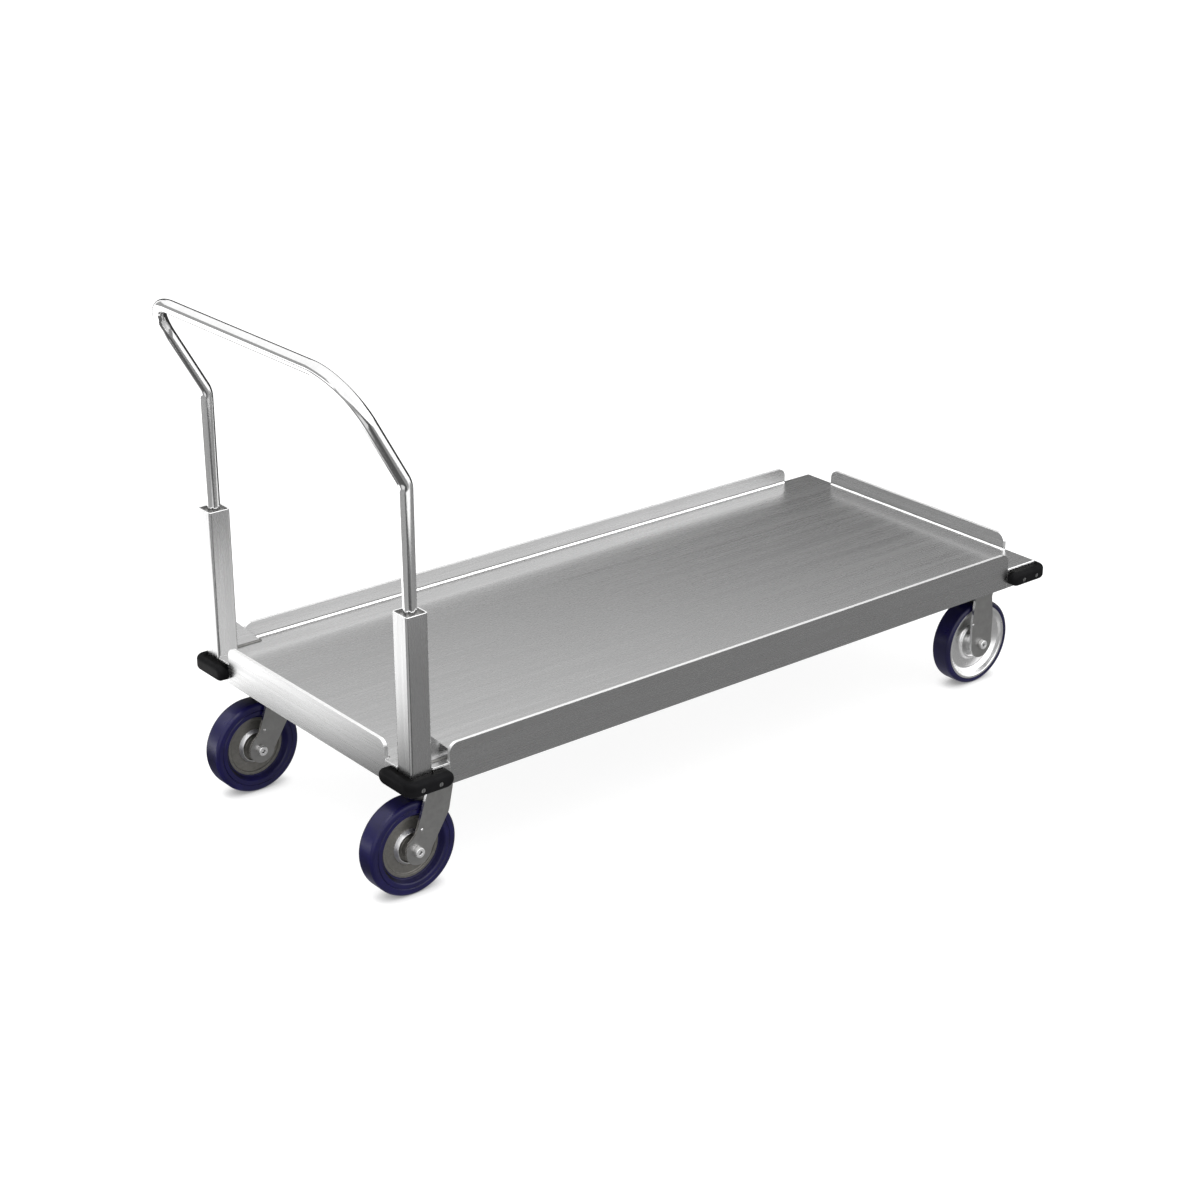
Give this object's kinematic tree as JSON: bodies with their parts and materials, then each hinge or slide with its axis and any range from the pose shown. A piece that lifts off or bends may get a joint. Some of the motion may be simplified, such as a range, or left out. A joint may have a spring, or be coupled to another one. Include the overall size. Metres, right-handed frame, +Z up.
{
  "type": "platform cart",
  "caption": "Flat stainless platform cart with low rails, corner bumpers, lift-out push handle, and swivel and fixed casters.",
  "frame": {"origin": "on the floor, below the middle of the cart's box, handle and bumpers included", "axes": "+X away from the handle end, +Y to the left of someone pushing, +Z up"},
  "size_m": [1.8963, 0.804, 1.117],
  "materials": {
    "stainless": "brushed",
    "polished_tube": "polished",
    "zinc_steel": "zinc plated",
    "fastener": "bright zinc",
    "bearing_steel": "ground",
    "bumper_rubber": "moulded",
    "rear_tread": "moulded, semi-gloss",
    "front_tread": "smooth",
    "cast_core": "dull",
    "dished_core": "satin"
  },
  "bodies": {
    "deck": {"deck_plate": "stainless", "rail_right": "stainless", "rail_left": "stainless", "rail_rear": "stainless", "rail_front": "stainless", "skirt_rear_right": "stainless", "skirt_rear_left": "stainless", "skirt_front_right": "stainless", "skirt_front_left": "stainless", "post_right": "stainless", "post_left": "stainless", "gusset_right": "stainless", "gusset_left": "stainless", "post_guide_right": "zinc_steel", "post_guide_left": "zinc_steel", "handle_socket_right": "zinc_steel", "handle_socket_left": "zinc_steel", "bumper_rear_right": "bumper_rubber", "bumper_rear_left": "bumper_rubber", "bumper_front_right": "bumper_rubber", "bumper_front_left": "bumper_rubber", "bumper_screws": "fastener", "channel_rear": "zinc_steel", "channel_front": "zinc_steel", "stiffeners": "zinc_steel", "caster_bolts": "fastener", "caster_nuts": "fastener", "swivel_plate_right": "zinc_steel", "swivel_plate_left": "zinc_steel", "kingpins": "zinc_steel", "kingpin_nuts": "fastener", "swivel_balls": "bearing_steel", "fixed_fork_right": "zinc_steel", "fixed_fork_left": "zinc_steel", "front_axles": "fastener", "front_axle_nuts": "fastener", "front_bushings": "bearing_steel"},
    "handle": {"handle_tube": "polished_tube"},
    "swivel_right": {"swivel_fork_right": "zinc_steel", "rear_axle_right": "fastener", "rear_axle_nut_right": "fastener", "rear_bushing_right": "bearing_steel"},
    "rear_wheel_right": {"rear_core_right": "cast_core", "rear_tread_right": "rear_tread", "rear_bearing_right": "bearing_steel"},
    "swivel_left": {"swivel_fork_left": "zinc_steel", "rear_axle_left": "fastener", "rear_axle_nut_left": "fastener", "rear_bushing_left": "bearing_steel"},
    "rear_wheel_left": {"rear_core_left": "cast_core", "rear_tread_left": "rear_tread", "rear_bearing_left": "bearing_steel"},
    "front_wheel_right": {"front_core_right": "dished_core", "front_tread_right": "front_tread", "front_bearing_right": "bearing_steel"},
    "front_wheel_left": {"front_core_left": "dished_core", "front_tread_left": "front_tread", "front_bearing_left": "bearing_steel"}
  },
  "joints": [
    {"name": "handle_lift", "type": "slide", "parent": "deck", "child": "handle", "axis": [0, 0, 1], "range_m": [0, 0.18]},
    {"name": "swivel_turn_right", "type": "hinge", "parent": "deck", "child": "swivel_right", "pos_m": [-0.72884, -0.29, 0.229], "axis": [0, 0, 1], "continuous": true},
    {"name": "rear_wheel_spin_right", "type": "hinge", "parent": "swivel_right", "child": "rear_wheel_right", "pos_m": [-0.78884, -0.29, 0.1016], "axis": [0, 1, 0], "continuous": true},
    {"name": "swivel_turn_left", "type": "hinge", "parent": "deck", "child": "swivel_left", "pos_m": [-0.72884, 0.29, 0.229], "axis": [0, 0, 1], "continuous": true},
    {"name": "rear_wheel_spin_left", "type": "hinge", "parent": "swivel_left", "child": "rear_wheel_left", "pos_m": [-0.78884, 0.29, 0.1016], "axis": [0, 1, 0], "continuous": true},
    {"name": "front_wheel_spin_right", "type": "hinge", "parent": "deck", "child": "front_wheel_right", "pos_m": [0.82116, -0.29, 0.1016], "axis": [0, 1, 0], "continuous": true},
    {"name": "front_wheel_spin_left", "type": "hinge", "parent": "deck", "child": "front_wheel_left", "pos_m": [0.82116, 0.29, 0.1016], "axis": [0, 1, 0], "continuous": true}
  ]
}
